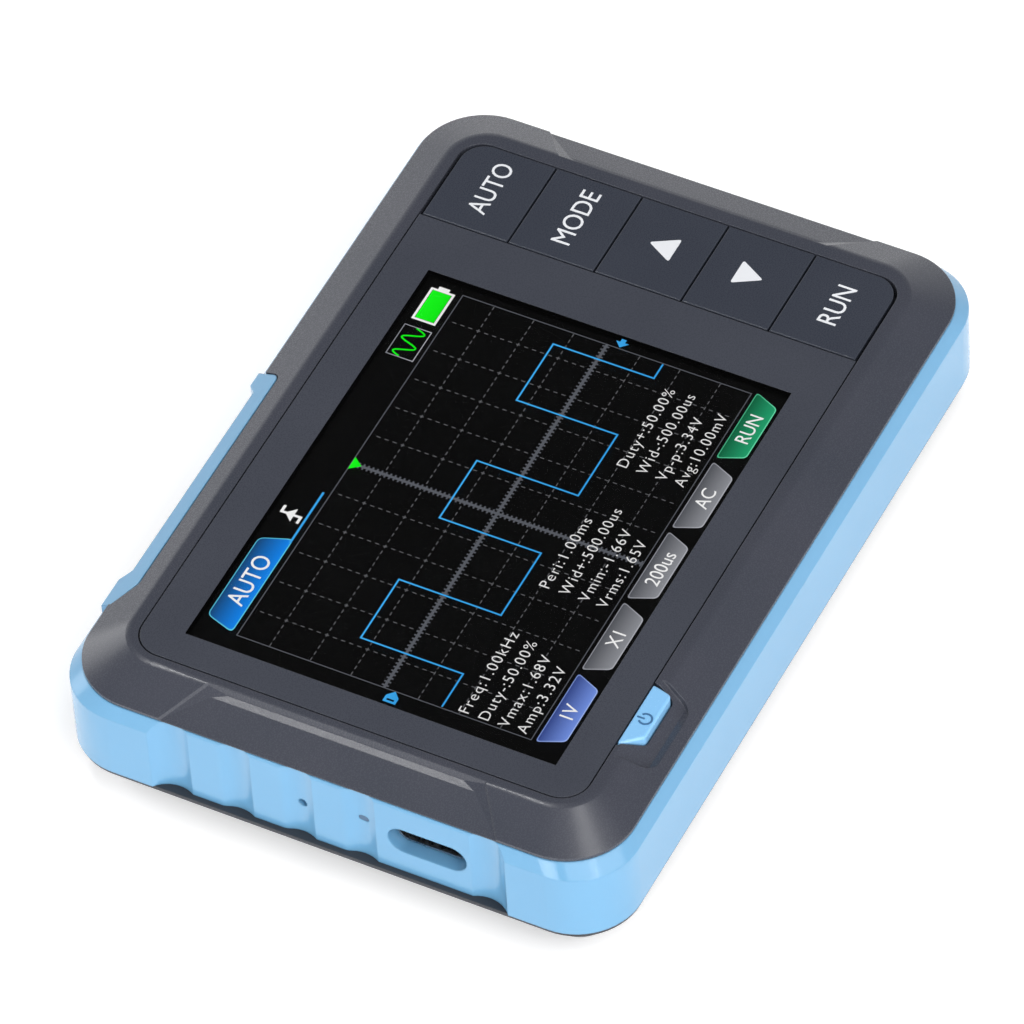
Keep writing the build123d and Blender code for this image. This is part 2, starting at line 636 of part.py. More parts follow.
def usb_shell():
    """The charging receptacle's metal shell."""
    back = USB_MOUTH_X + USB_LENGTH
    shell = stadium_x(USB_Y, USB_Z, USB_MOUTH_X, back, *USB_SHELL)
    inner = (USB_SHELL[0] - 2 * USB_WALL, USB_SHELL[1] - 2 * USB_WALL)
    return shell - stadium_x(USB_Y, USB_Z, USB_MOUTH_X, back - 1.0, *inner)


def usb_tongue():
    """The receptacle's contact tongue."""
    back = USB_MOUTH_X + USB_LENGTH - 1.0
    return block(USB_MOUTH_X + 0.9, back, USB_Y - 3.35, USB_Y + 3.35, USB_Z - 0.35, USB_Z + 0.35)


def charge_light():
    """The side-facing charge indicator on the board."""
    return block(-45.0, -43.8, LIGHT_Y - 1.0, LIGHT_Y + 1.0, BOARD_BOTTOM_Z - 1.2, BOARD_BOTTOM_Z)


def light_pipe():
    """The clear insert that carries the indicator's light through the frame."""
    length, height = LIGHT_SLOT
    return stadium_x(LIGHT_Y, LIGHT_Z, -GRIP_X + 0.5, -INNER_X + 0.6, length, height)


def reset_switch():
    """The side-facing reset switch, with a well for its plunger."""
    case = block(-44.6, -41.2, RESET_Y - 2.0, RESET_Y + 2.0, RESET_Z - 1.25, BOARD_BOTTOM_Z)
    return case - across_x(RESET_Y, RESET_Z, -44.6, -43.8, 0.75)


def reset_plunger():
    """The reset switch's plunger, reached with a pin."""
    return across_x(RESET_Y, RESET_Z, -45.5, -44.3, 0.7)


# ---------------------------------------------------------------- battery

def battery_pad():
    """The adhesive foam under the cell."""
    x, y = CELL_CENTRE
    return block(x - 20, x + 20, y - 14, y + 14, BASE_FLOOR_Z, BASE_FLOOR_Z + PAD_THICKNESS)


def battery_cell():
    """The lithium pouch cell, with its folded seal at one end."""
    x, y = CELL_CENTRE
    low = BASE_FLOOR_Z + PAD_THICKNESS
    cell = block(x - CELL[0] / 2, x + CELL[0] / 2, y - CELL[1] / 2, y + CELL[1] / 2, low, low + CELL[2])
    cell = fillet(cell.edges().filter_by(Axis.X), 1.5)
    seal = block(x + CELL[0] / 2, x + CELL[0] / 2 + 3, y - 14, y + 14, low + 2.4, low + 3.4)
    return cell + seal


def battery_socket():
    """The two-way battery socket on the board's underside."""
    return block(33.0, 37.0, -4.0, 4.0, BOARD_BOTTOM_Z - 3.0, BOARD_BOTTOM_Z)


def battery_leads():
    """The cell's two leads, from its seal up to the socket."""
    seal_x = CELL_CENTRE[0] + CELL[0] / 2 + 3
    start_z = BASE_FLOOR_Z + PAD_THICKNESS + 2.9
    leads = []
    for y in (-1.2, 1.2):
        route = FilletPolyline((seal_x, y, start_z), (seal_x + 4.0, y, start_z),
                               (29.0, y, BOARD_BOTTOM_Z - 1.5), (33.0, y, BOARD_BOTTOM_Z - 1.5), radius=2.5)
        section = Plane(origin=(seal_x, y, start_z), z_dir=(1, 0, 0)) * Circle(LEAD_R)
        leads.append(sweep(section, path=route))
    return Compound(children=leads)


def all_pieces():
    """Every piece by name."""
    pieces = {
        "top_cover": top_cover(),
        "front_panel": front_panel(),
        "display_window": display_window(),
        "middle_frame": middle_frame(),
        "port_plate": port_plate(),
        "bottom_cover": bottom_cover(),
        "case_screws": case_screws(),
        "lcd_glass": lcd_glass(),
        "lcd_backlight": lcd_backlight(),
        "lcd_ribbon": lcd_ribbon(),
        "lcd_connector": lcd_connector(),
        "main_board": main_board(),
        "main_processor": under_board(-2.0, 12.0, 10.0, 10.0, 1.4),
        "signal_converter": under_board(-12.0, -8.0, 7.0, 7.0, 1.0),
        "input_amplifier": under_board(JACK_X, 17.0, 5.0, 4.0, 1.6),
        "input_shield": input_shield(),
        "charge_controller": under_board(-30.0, -12.0, 4.0, 5.0, 1.0),
        "clock_crystal": under_board(10.0, 12.0, 3.2, 2.5, 0.8),
        "power_inductor": power_inductor(),
        "signal_jack": signal_jack(),
        "jack_insulator": jack_insulator(),
        "jack_pin": jack_pin(),
        "calibration_contact": calibration_contact(),
        "usb_shell": usb_shell(),
        "usb_tongue": usb_tongue(),
        "charge_light": charge_light(),
        "light_pipe": light_pipe(),
        "reset_switch": reset_switch(),
        "reset_plunger": reset_plunger(),
        "battery_pad": battery_pad(),
        "battery_cell": battery_cell(),
        "battery_socket": battery_socket(),
        "battery_leads": battery_leads(),
        "power_key": power_key(),
        "power_switch": switch_body(POWER_X, POWER_SWITCH_Y, POWER_SWITCH_TOP_Z, 2.6),
        "power_plunger": switch_plunger(POWER_X, POWER_SWITCH_Y, POWER_SWITCH_TOP_Z, POWER_PLUNGER_TOP_Z),
    }
    for index, name in enumerate(KEY_NAMES):
        y = key_centre_y(index)
        pieces[name + "_key"] = key_cap(index)
        pieces[name + "_switch"] = switch_body(KEY_X, y, SWITCH_TOP_Z, SWITCH_SIZE)
        pieces[name + "_plunger"] = switch_plunger(KEY_X, y, SWITCH_TOP_Z, KEY_STEM_Z - PLUNGER_GAP)
    return pieces


os.makedirs("parts", exist_ok=True)
for node, solid in all_pieces().items():
    export_step(solid, os.path.join("parts", node + ".step"))
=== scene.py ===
"""Looks of the pocket oscilloscope: materials, lettering, the picture on its display, light and camera.

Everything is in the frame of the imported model, in metres. Flat artwork is laid out in millimetres.
"""
import math

import bmesh
import bpy
from mathutils import Matrix, Vector


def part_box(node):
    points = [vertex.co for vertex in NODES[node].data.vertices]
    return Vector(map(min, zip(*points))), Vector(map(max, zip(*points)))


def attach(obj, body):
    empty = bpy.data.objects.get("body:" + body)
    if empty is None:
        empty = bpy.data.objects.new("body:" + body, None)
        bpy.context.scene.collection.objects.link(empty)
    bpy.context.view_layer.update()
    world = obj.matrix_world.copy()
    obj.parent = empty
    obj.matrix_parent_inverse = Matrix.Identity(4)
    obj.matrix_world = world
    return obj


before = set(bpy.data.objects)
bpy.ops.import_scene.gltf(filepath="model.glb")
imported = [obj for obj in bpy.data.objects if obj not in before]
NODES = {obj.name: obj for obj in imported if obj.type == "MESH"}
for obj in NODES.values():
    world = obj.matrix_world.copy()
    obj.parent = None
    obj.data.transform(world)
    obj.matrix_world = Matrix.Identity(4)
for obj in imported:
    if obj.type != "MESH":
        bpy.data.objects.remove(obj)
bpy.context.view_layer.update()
MM = 0.001

# ---- camera ----
CAMERA_TURN = 60.34       # degrees from -Y towards -X
CAMERA_RISE = 48.89
CAMERA_ROLL = -4.05
CAMERA_DISTANCE = 1.157
CAMERA_AIM = (0.0, 0.0019, 0.00975)
CAMERA_LENS = 360.65

# ---- light: heights are the sine of the angle above the floor ----
WALL_TOP, CEILING_EDGE = 0.28, 0.62
WALL_GLOW, CEILING_GLOW = 0.92, 0.04
FLOOR_GLOW = 0.32
FLOOR_HALF = 3.0
LIGHTS = (                   # name, direction from the object, distance, width, height, radiance
    ("key_box", (-0.48, -0.36, 0.80), 1.8, 1.2, 1.2, 2.7),
    ("side_box", (-0.15, -0.7, 0.7), 1.6, 1.1, 1.1, 2.6),
    ("back_fill", (0.1, 0.93, 0.35), 1.5, 1.2, 0.8, 2.7),
    ("strip_left", (-0.944, 0.058, 0.325), 0.8, 0.22, 0.35, 5.0),
    ("strip_right", (-0.629, -0.694, 0.35), 0.8, 0.22, 0.35, 5.0),
    ("high_small", (0.04, 0.325, 0.943), 1.0, 0.12, 0.12, 32.0),
    ("high_corner", (-0.04, -0.284, 0.956), 1.0, 0.2, 0.2, 7.0),
)

# ---- grain of the mouldings ----
BROAD_GRAIN = 14.0           # size of the patches of tone, in millimetres
NOISE_LOW, NOISE_HIGH = 0.3, 0.7    # the noise values that are spread over a range of roughness
TONE_STOPS = (0.35, 0.65)    # the noise values at which the two tones are reached

# ---- ink on the keys, in millimetres ----
KEYS = ("auto", "mode", "up", "down", "run")
INK_THICKNESS = 0.02
LABEL_X = 35.6
LABEL_HEIGHT = 2.35
LABEL_WIDTHS = {"auto": 8.1, "mode": 8.6, "run": 6.0}
ARROW_HALF = 1.85            # half of an arrow's base
ARROW_BACK, ARROW_TIP = 1.6, 1.7
ARROW_CORNER_R = 0.4
POWER_SIGN = (-28.2, -29.1)  # middle of the power sign
POWER_SIGN_R = (0.85, 0.62)
POWER_SIGN_GAP = 38          # degrees from the bar to each end of the ring
POWER_SIGN_STEPS = 28
POWER_SIGN_BAR = (0.11, 0.1, 1.0)   # half width, and its two ends from the middle
POWER_SIGN_THICKNESS = 0.04

# ---- the picture on the display, in millimetres from the window's middle ----
LAYER = 0.02                 # distance from one layer of the picture to the next
LAYER_THICKNESS = 0.8 * LAYER
SIGHT_SHIFT = (0.55, 0.34)   # the pane bends the view, so the picture stands this far off the middle
GRID_LEFT, GRID_RIGHT = -27.8, 27.9
GRID_LOW, GRID_HIGH = -18.96, 17.58
GRID_MID = (0.04, -0.8)
GRID_LINE = 0.11
COLUMN_PITCH = 4.73
COLUMNS_EACH_SIDE = 5
ROWS = (4.17, 9.22, 14.28)   # distances of the rows from the middle axis
DASH, DASH_HALF = 0.5, 0.05  # length and half width of a dash
DASHES_PER_COLUMN = 5
DASHES_PER_ROW = 5
AXIS_HALF = 0.17
TICK, TICK_PITCH = 0.2, 0.56
TICK_REACH = 0.42            # from the axis to the end of a tick

WAVE_HIGH, WAVE_LOW = 4.81, -7.88
WAVE_CYCLES = 3
WAVE_PULSE = 9.31            # length of the high part of one cycle
WAVE_PERIOD = 19.25
WAVE_FIRST = -22.43
WAVE_HALF = 0.1              # half width of its line
WAVE_MARGIN = 0.2            # from the frame to the ends of the wave
TRIGGER_HALF, TRIGGER_TOP, TRIGGER_TIP = 0.95, 17.48, 16.25
LEVEL_Y = -2.26
TAG_BACK, TAG_SHOULDER, TAG_TIP, TAG_HALF = -29.5, -28.6, -27.8, 0.78
TAG_SLOT = (-29.22, -28.98)
TAG_SLOT_HALF = 0.45
ARROWHEAD_TIP, ARROWHEAD_BACK, ARROWHEAD_HALF = 28.0, 28.8, 0.8
SHAFT_END, SHAFT_HALF = 29.6, 0.3

# ---- the signs of the top row: tabs by their corners, boxes as left, right, low and high ----
STATUS_TAB = ((-27.64, 18.21), (-12.64, 18.21), (-14.04, 21.92), (-26.42, 21.92))
STATUS_TAB_R = 0.7
STATUS_FILL = ((-27.44, 18.33), (-12.83, 18.33), (-14.13, 21.8), (-26.33, 21.8))
STATUS_FILL_R = 0.62
STATUS_LINE = (-13.4, -5.17, 18.21, 18.47)
STATUS_LETTERS = 2.1
STATUS_TEXT = {"centre": -20.13, "middle": 19.99, "width": 7.6}
EDGE_SIGN_X, EDGE_SIGN_LOW, EDGE_SIGN_HIGH = -9.53, 18.82, 21.55
EDGE_STEM_HALF, EDGE_FOOT, EDGE_FOOT_REACH = 0.16, 0.33, 0.95
EDGE_HEAD_HALF, EDGE_HEAD_LOW, EDGE_HEAD_TIP = 0.98, 19.83, 20.91
SINE_FRAME = (16.44, 21.32, 18.14, 21.63)
SINE_FRAME_LINE = 0.1
SINE_START, SINE_LENGTH = 16.62, 4.52
SINE_MIDDLE, SINE_SWING = 19.88, 1.15
SINE_PERIODS, SINE_DELAY = 2, 0.02
SINE_STEPS, SINE_HALF = 48, 0.1
BATTERY_FRAME = (22.36, 27.53, 18.33, 21.36)
BATTERY_WALL = 0.28
BATTERY_CAP = (27.53, 27.98, 19.17, 20.55)
BATTERY_FILL = (22.7, 27.2, 18.68, 21.01)

# ---- the tabs along the bottom, and the measured values ----
TABS = (                     # text, colour of the fill and colour of the outline
    ("1V", "glow_tab_blue", "glow_blue_edge"),
    ("X1", "glow_tab_grey", "glow_tab_edge"),
    ("200us", "glow_tab_grey", "glow_tab_edge"),
    ("AC", "glow_tab_grey", "glow_tab_edge"),
    ("RUN", "glow_tab_green", "glow_green_edge"),
)
TAB_PITCH, TAB_WIDTH = 11.33, 10.75
TAB_TOP, TAB_BOTTOM = -19.43, -22.57
TAB_SLANT, TAB_R = 1.35, 0.5
FILL_SLANT, FILL_R = 1.45, 0.45
FILL_SIDE, FILL_MARGIN = 0.18, 0.12  # from the outline to the fill at the top corners, and above and below
TAB_LETTERS = 1.62
TAB_SQUEEZE = 0.93
READOUT_COLUMNS = (          # left edge, then each line's text and width
    (-27.34, (("Freq:1.00kHz", 12.6), ("Duty-:50.00%", 12.2), ("Vmax:1.68V", 11.0), ("Amp:3.32V", 10.2))),
    (-7.5, (("Peri:1.00ms", 11.0), ("Wid+:500.00us", 13.6), ("Vmin:-1.66V", 11.3), ("Vrms:1.65V", 10.5))),
    (12.0, (("Duty+:50.00%", 12.6), ("Wid-:500.00us", 12.8), ("Vp-p:3.34V", 10.0), ("Avg:10.00mV", 11.6))),
)
READOUT_BASELINES = (-11.02, -13.45, -15.84, -18.09)
READOUT_LETTERS = 1.3
READOUT_SPACING = 1.16
READOUT_THIN = 0.008         # strokes are thinned by this much, in the typeface's own units


def srgb(red, green, blue):
    """A display colour, 0 to 255, as the linear colour that a shader wants."""
    def channel(value):
        value /= 255
        return value / 12.92 if value <= 0.04045 else ((value + 0.055) / 1.055) ** 2.4
    return (channel(red), channel(green), channel(blue), 1.0)


# ---------------------------------------------------------------- materials

def new_material(name):
    """An empty node material: returns it, its node maker, its link maker and its surface shader."""
    mat = bpy.data.materials.new(name)
    mat.use_nodes = True
    tree = mat.node_tree
    return mat, tree.nodes, tree.links, tree.nodes["Principled BSDF"]


def grain(nodes, links, coords, size_mm, detail=2.0):
    """Noise whose patches are about size_mm across."""
    noise = nodes.new("ShaderNodeTexNoise")
    noise.inputs["Scale"].default_value = 1 / (size_mm * MM)
    noise.inputs["Detail"].default_value = detail
    links.new(coords.outputs["Object"], noise.inputs["Vector"])
    return noise


def spread(nodes, links, source, low, high):
    """Stretches a noise value into a range, for roughness."""
    ranged = nodes.new("ShaderNodeMapRange")
    ranged.inputs["From Min"].default_value = NOISE_LOW
    ranged.inputs["From Max"].default_value = NOISE_HIGH
    ranged.inputs["To Min"].default_value = low
    ranged.inputs["To Max"].default_value = high
    links.new(source.outputs["Fac"], ranged.inputs["Value"])
    return ranged


def tinted(nodes, links, source, first, second):
    """A colour that drifts between two tones with a noise value."""
    ramp = nodes.new("ShaderNodeValToRGB")
    ramp.color_ramp.elements[0].position = TONE_STOPS[0]
    ramp.color_ramp.elements[1].position = TONE_STOPS[1]
    ramp.color_ramp.elements[0].color = first
    ramp.color_ramp.elements[1].color = second
    links.new(source.outputs["Fac"], ramp.inputs["Fac"])
    return ramp


def moulded(name, dark, light, roughness, grain_mm, relief_mm, sheen=0.5, edge_mm=0.08):
    """Moulded plastic: fine spark-eroded grain, slight drift of tone, uneven polish and softened edges."""
    mat, nodes, links, shader = new_material(name)
    coords = nodes.new("ShaderNodeTexCoord")
    fine = grain(nodes, links, coords, grain_mm)
    broad = grain(nodes, links, coords, BROAD_GRAIN)
    tone = tinted(nodes, links, broad, dark, light)
    links.new(tone.outputs["Color"], shader.inputs["Base Color"])
    polish = spread(nodes, links, fine, roughness[0], roughness[1])
    links.new(polish.outputs["Result"], shader.inputs["Roughness"])
    bump = nodes.new("ShaderNodeBump")
    bump.inputs["Distance"].default_value = relief_mm * MM
    links.new(fine.outputs["Fac"], bump.inputs["Height"])
    links.new(bump.outputs["Normal"], shader.inputs["Normal"])
    if edge_mm:
        soft = nodes.new("ShaderNodeBevel")
        soft.samples = 6
        soft.inputs["Radius"].default_value = edge_mm * MM
        links.new(soft.outputs["Normal"], bump.inputs["Normal"])
    shader.inputs["Specular IOR Level"].default_value = sheen
    return mat


def metal(name, dark, light, roughness, grain_mm=0.6):
    """Plated metal with faint handling marks."""
    mat, nodes, links, shader = new_material(name)
    coords = nodes.new("ShaderNodeTexCoord")
    marks = grain(nodes, links, coords, grain_mm, detail=4.0)
    tone = tinted(nodes, links, marks, dark, light)
    links.new(tone.outputs["Color"], shader.inputs["Base Color"])
    polish = spread(nodes, links, marks, roughness[0], roughness[1])
    links.new(polish.outputs["Result"], shader.inputs["Roughness"])
    shader.inputs["Metallic"].default_value = 1.0
    return mat


def clear(name, roughness, tint):
    """Clear plastic or glass with a very slight smear in its polish."""
    mat, nodes, links, shader = new_material(name)
    coords = nodes.new("ShaderNodeTexCoord")
    smear = grain(nodes, links, coords, 9.0, detail=5.0)
    polish = spread(nodes, links, smear, roughness[0], roughness[1])
    links.new(polish.outputs["Result"], shader.inputs["Roughness"])
    shader.inputs["Base Color"].default_value = tint
    shader.inputs["Transmission Weight"].default_value = 1.0
    shader.inputs["IOR"].default_value = 1.46
    return mat


def glowing(name, low, high, strength):
    """Part of the lit picture: its colour runs from low at its bottom edge to high at its top edge."""
    mat, nodes, links, shader = new_material(name)
    coords = nodes.new("ShaderNodeTexCoord")
    split = nodes.new("ShaderNodeSeparateXYZ")
    links.new(coords.outputs["Generated"], split.inputs["Vector"])
    ramp = nodes.new("ShaderNodeValToRGB")
    ramp.color_ramp.elements[0].color = low
    ramp.color_ramp.elements[1].color = high
    links.new(split.outputs["Y"], ramp.inputs["Fac"])
    links.new(ramp.outputs["Color"], shader.inputs["Emission Color"])
    shader.inputs["Emission Strength"].default_value = strength
    shader.inputs["Base Color"].default_value = (0.0, 0.0, 0.0, 1.0)
    shader.inputs["Roughness"].default_value = 0.9
    shader.inputs["Specular IOR Level"].default_value = 0.0
    return mat


def board_material():
    """Green solder mask over a faint pattern of copper runs."""
    mat, nodes, links, shader = new_material("board_mask")
    coords = nodes.new("ShaderNodeTexCoord")
    runs = nodes.new("ShaderNodeTexBrick")
    runs.inputs["Scale"].default_value = 1 / (2.4 * MM)
    runs.inputs["Mortar Size"].default_value = 0.06
    runs.inputs["Color1"].default_value = srgb(14, 74, 48)
    runs.inputs["Color2"].default_value = srgb(16, 80, 52)
    runs.inputs["Mortar"].default_value = srgb(40, 118, 74)
    links.new(coords.outputs["Object"], runs.inputs["Vector"])
    links.new(runs.outputs["Color"], shader.inputs["Base Color"])
    shader.inputs["Roughness"].default_value = 0.35
    return mat


def make_materials():
    """Every material by name."""
    return {
        "shell": moulded("shell_slate", srgb(61, 64, 73), srgb(65, 67, 76), (0.22, 0.31), 0.16, 0.005,
                         edge_mm=0.12),
        "panel": moulded("panel_slate", srgb(61, 64, 73), srgb(64, 67, 76), (0.24, 0.32), 0.14, 0.003),
        "key": moulded("key_slate", srgb(53, 57, 67), srgb(56, 60, 70), (0.24, 0.32), 0.14, 0.003),
        "blue": moulded("frame_blue", srgb(105, 158, 195), srgb(107, 160, 197), (0.13, 0.19), 0.6, 0.0006,
                        edge_mm=0.3),
        "power": moulded("power_blue", srgb(129, 185, 230), srgb(132, 188, 232), (0.2, 0.28), 0.4, 0.001),
        "mark": moulded("power_mark", srgb(52, 96, 138), srgb(56, 102, 144), (0.4, 0.5), 0.3, 0.001,
                        edge_mm=0.0),
        "ink": moulded("label_ink", srgb(220, 222, 226), srgb(228, 230, 234), (0.45, 0.6), 0.12, 0.001,
                       edge_mm=0.0),
        # near-black plate on the port face: it draws the thin dark line along that face
        "plate": moulded("port_black", srgb(30, 31, 34), srgb(34, 35, 38), (0.45, 0.6), 0.2, 0.008),
        "base": moulded("base_slate", srgb(44, 46, 51), srgb(48, 50, 55), (0.46, 0.6), 0.24, 0.014),
        "black": moulded("socket_black", srgb(20, 20, 22), srgb(26, 26, 28), (0.4, 0.55), 0.2, 0.004),
        "chip": moulded("chip_epoxy", srgb(24, 25, 26), srgb(30, 31, 32), (0.5, 0.65), 0.1, 0.004),
        "white": moulded("white_plastic", srgb(222, 222, 218), srgb(230, 230, 226), (0.35, 0.45), 0.3, 0.003),
        "foam": moulded("foam_tape", srgb(40, 40, 42), srgb(52, 52, 54), (0.8, 0.95), 0.4, 0.05),
        "pouch": metal("pouch_foil", srgb(176, 178, 182), srgb(198, 200, 204), (0.28, 0.45), 3.0),
        "leads": moulded("lead_red", srgb(160, 28, 24), srgb(172, 34, 28), (0.4, 0.5), 0.3, 0.004),
        "ribbon": moulded("ribbon_amber", srgb(150, 96, 30), srgb(168, 110, 38), (0.3, 0.42), 0.8, 0.003),
        "tin": metal("tin_plate", srgb(150, 152, 156), srgb(182, 184, 188), (0.22, 0.38)),
        "gold": metal("gold_plate", srgb(206, 164, 86), srgb(226, 186, 104), (0.16, 0.28)),
        "screw": metal("black_zinc", srgb(58, 58, 62), srgb(84, 84, 88), (0.3, 0.45)),
        "pane": clear("window_pane", (0.015, 0.04), (1.0, 1.0, 1.0, 1.0)),
        "pipe": moulded("light_pipe_milky", srgb(58, 92, 122), srgb(66, 100, 130), (0.25, 0.4), 0.3, 0.001,
                        edge_mm=0.0),
        "display": moulded("display_black", srgb(2, 2, 3), srgb(4, 4, 5), (0.3, 0.4), 0.2, 0.0, sheen=0.05,
                           edge_mm=0.0),
        "board": board_material(),
        "glow_white": glowing("glow_white", srgb(240, 240, 240), srgb(246, 246, 246), 1.0),
        "glow_text": glowing("glow_text", srgb(222, 222, 222), srgb(230, 230, 230), 1.0),
        "glow_grid": glowing("glow_grid", srgb(92, 93, 96), srgb(98, 99, 102), 1.0),
        "glow_axis": glowing("glow_axis", srgb(84, 87, 94), srgb(90, 93, 100), 1.0),
        "glow_wave": glowing("glow_wave", srgb(52, 158, 228), srgb(62, 170, 238), 1.0),
        "glow_green": glowing("glow_green", srgb(10, 236, 16), srgb(20, 250, 26), 1.0),
        "glow_auto": glowing("glow_auto", srgb(16, 132, 236), srgb(22, 70, 118), 1.0),
        "glow_auto_edge": glowing("glow_auto_edge", srgb(96, 206, 226), srgb(84, 188, 214), 1.0),
        "glow_blue_edge": glowing("glow_blue_edge", srgb(158, 182, 240), srgb(120, 144, 206), 1.0),
        "glow_green_edge": glowing("glow_green_edge", srgb(104, 222, 172), srgb(70, 176, 132), 1.0),
        "glow_tab_edge": glowing("glow_tab_edge", srgb(176, 178, 186), srgb(140, 142, 150), 1.0),
        "glow_tab_grey": glowing("glow_tab_grey", srgb(140, 142, 148), srgb(82, 84, 90), 1.0),
        "glow_tab_blue": glowing("glow_tab_blue", srgb(112, 142, 222), srgb(52, 70, 136), 1.0),
        "glow_tab_green": glowing("glow_tab_green", srgb(34, 158, 108), srgb(14, 96, 62), 1.0),
    }


MATERIALS = make_materials()

NODE_MATERIALS = {
    "top_cover": "shell", "front_panel": "panel", "display_window": "pane", "middle_frame": "blue",
    "port_plate": "plate", "bottom_cover": "base", "case_screws": "screw", "lcd_glass": "display",
    "lcd_backlight": "white", "lcd_ribbon": "ribbon", "lcd_connector": "black", "main_board": "board",
    "main_processor": "chip", "signal_converter": "chip", "input_amplifier": "chip",
    "input_shield": "tin", "charge_controller": "chip", "clock_crystal": "tin",
    "power_inductor": "chip", "signal_jack": "gold", "jack_insulator": "white", "jack_pin": "gold",
    "calibration_contact": "gold", "usb_shell": "tin", "usb_tongue": "black", "charge_light": "white",
    "light_pipe": "pipe", "reset_switch": "black", "reset_plunger": "white", "battery_pad": "foam",
    "battery_cell": "pouch", "battery_socket": "white", "battery_leads": "leads",
    "power_key": "power", "power_switch": "black", "power_plunger": "white",
}
KEY_MATERIALS = {"key": "key", "switch": "black", "plunger": "white"}


def dress_nodes():
    """Gives each CAD node its material."""
    wanted = dict(NODE_MATERIALS)
    for key in KEYS:
        for part, material in KEY_MATERIALS.items():
            wanted[f"{key}_{part}"] = material
    for name, obj in NODES.items():
        obj.data.materials.clear()
        obj.data.materials.append(MATERIALS[wanted[name]])


# ---------------------------------------------------------------- flat artwork

def add_piece(name, mesh, material, body):
    """Puts a mesh into the scene as a piece that rides on a body."""
    obj = bpy.data.objects.new(name, mesh)
    bpy.context.scene.collection.objects.link(obj)
    mesh.materials.clear()
    mesh.materials.append(MATERIALS[material])
    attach(obj, body)


def plates_mesh(name, outlines, low, high):
    """A mesh of flat plates, each an outline in millimetres, between two heights in millimetres."""
    mesh = bmesh.new()
    for outline in outlines:
        bottom = [mesh.verts.new((x * MM, y * MM, low * MM)) for x, y in outline]
        top = [mesh.verts.new((x * MM, y * MM, high * MM)) for x, y in outline]
        mesh.faces.new(top)
        mesh.faces.new(list(reversed(bottom)))
        count = len(outline)
        for i in range(count):
            j = (i + 1) % count
            mesh.faces.new((bottom[i], bottom[j], top[j], top[i]))
    bmesh.ops.recalc_face_normals(mesh, faces=mesh.faces)
    data = bpy.data.meshes.new(name)
    mesh.to_mesh(data)
    mesh.free()
    return data


def rectangle(left, right, low, high):
    """A rectangle's outline."""
    return [(left, low), (right, low), (right, high), (left, high)]


def rounded(points, radius, steps=4):
    """An outline with each corner turned into a short arc."""
    result = []
    count = len(points)
    for i in range(count):
        before, corner, after = (Vector(points[(i + k) % count]) for k in (-1, 0, 1))
        start = corner + (before - corner).normalized() * radius
        end = corner + (after - corner).normalized() * radius
        for step in range(steps + 1):
            t = step / steps
            point = start * (1 - t) ** 2 + corner * 2 * t * (1 - t) + end * t ** 2
            result.append((point.x, point.y))
    return result


def text_mesh(name, text, height, low, high, width=None, left=None, centre=None, baseline=None, middle=None,
              spacing=1.0, thin=0.0):
    """Lettering of a given capital height, placed by its left edge or centre and its baseline or middle."""
    curve = bpy.data.curves.new(name, "FONT")
    curve.body = text
    curve.space_character = spacing
    curve.offset = -thin
    curve.resolution_u = 4
    probe = bpy.data.objects.new(name, curve)
    bpy.context.scene.collection.objects.link(probe)
    mesh = bpy.data.meshes.new_from_object(probe.evaluated_get(bpy.context.evaluated_depsgraph_get()))
    bpy.data.objects.remove(probe)
    bpy.data.curves.remove(curve)
    xs = [v.co.x for v in mesh.vertices]
    scale_y = height / CAPITAL
    scale_x = width / (max(xs) - min(xs)) if width else scale_y * TAB_SQUEEZE
    shift_x = left - min(xs) * scale_x if left is not None else centre - (min(xs) + max(xs)) / 2 * scale_x
    shift_y = baseline if baseline is not None else middle - height / 2
    flat = bmesh.new()
    flat.from_mesh(mesh)
    bpy.data.meshes.remove(mesh)
    bmesh.ops.remove_doubles(flat, verts=flat.verts, dist=1e-6)
    for v in flat.verts:
        v.co = Vector(((v.co.x * scale_x + shift_x) * MM, (v.co.y * scale_y + shift_y) * MM, low * MM))
    return thickened(name, flat, high * MM)


def thickened(name, flat, top):
    """A plate between a flat mesh and the height of its top face, always built in the same order."""
    solid = bmesh.new()
    flat.verts.index_update()
    flat.verts.ensure_lookup_table()
    lower = [solid.verts.new(v.co) for v in flat.verts]
    upper = [solid.verts.new((v.co.x, v.co.y, top)) for v in flat.verts]
    for face in flat.faces:
        around = [v.index for v in face.verts]
        solid.faces.new([upper[i] for i in around])
        solid.faces.new([lower[i] for i in reversed(around)])
        for start, end in zip(around, around[1:] + around[:1]):
            if flat.edges.get((flat.verts[start], flat.verts[end])).is_boundary:
                solid.faces.new((lower[start], lower[end], upper[end], upper[start]))
    bmesh.ops.recalc_face_normals(solid, faces=solid.faces)
    mesh = bpy.data.meshes.new(name)
    solid.to_mesh(mesh)
    solid.free()
    flat.free()
    return mesh


def capital_height():
    """Height of a capital letter in the built-in typeface, in its own units."""
    curve = bpy.data.curves.new("probe", "FONT")
    curve.body = "H"
    probe = bpy.data.objects.new("probe", curve)
    bpy.context.scene.collection.objects.link(probe)
    mesh = bpy.data.meshes.new_from_object(probe.evaluated_get(bpy.context.evaluated_depsgraph_get()))
    height = max(v.co.y for v in mesh.vertices) - min(v.co.y for v in mesh.vertices)
    bpy.data.objects.remove(probe)
    bpy.data.curves.remove(curve)
    bpy.data.meshes.remove(mesh)
    return height


CAPITAL = capital_height()


# ---------------------------------------------------------------- key labels and power mark

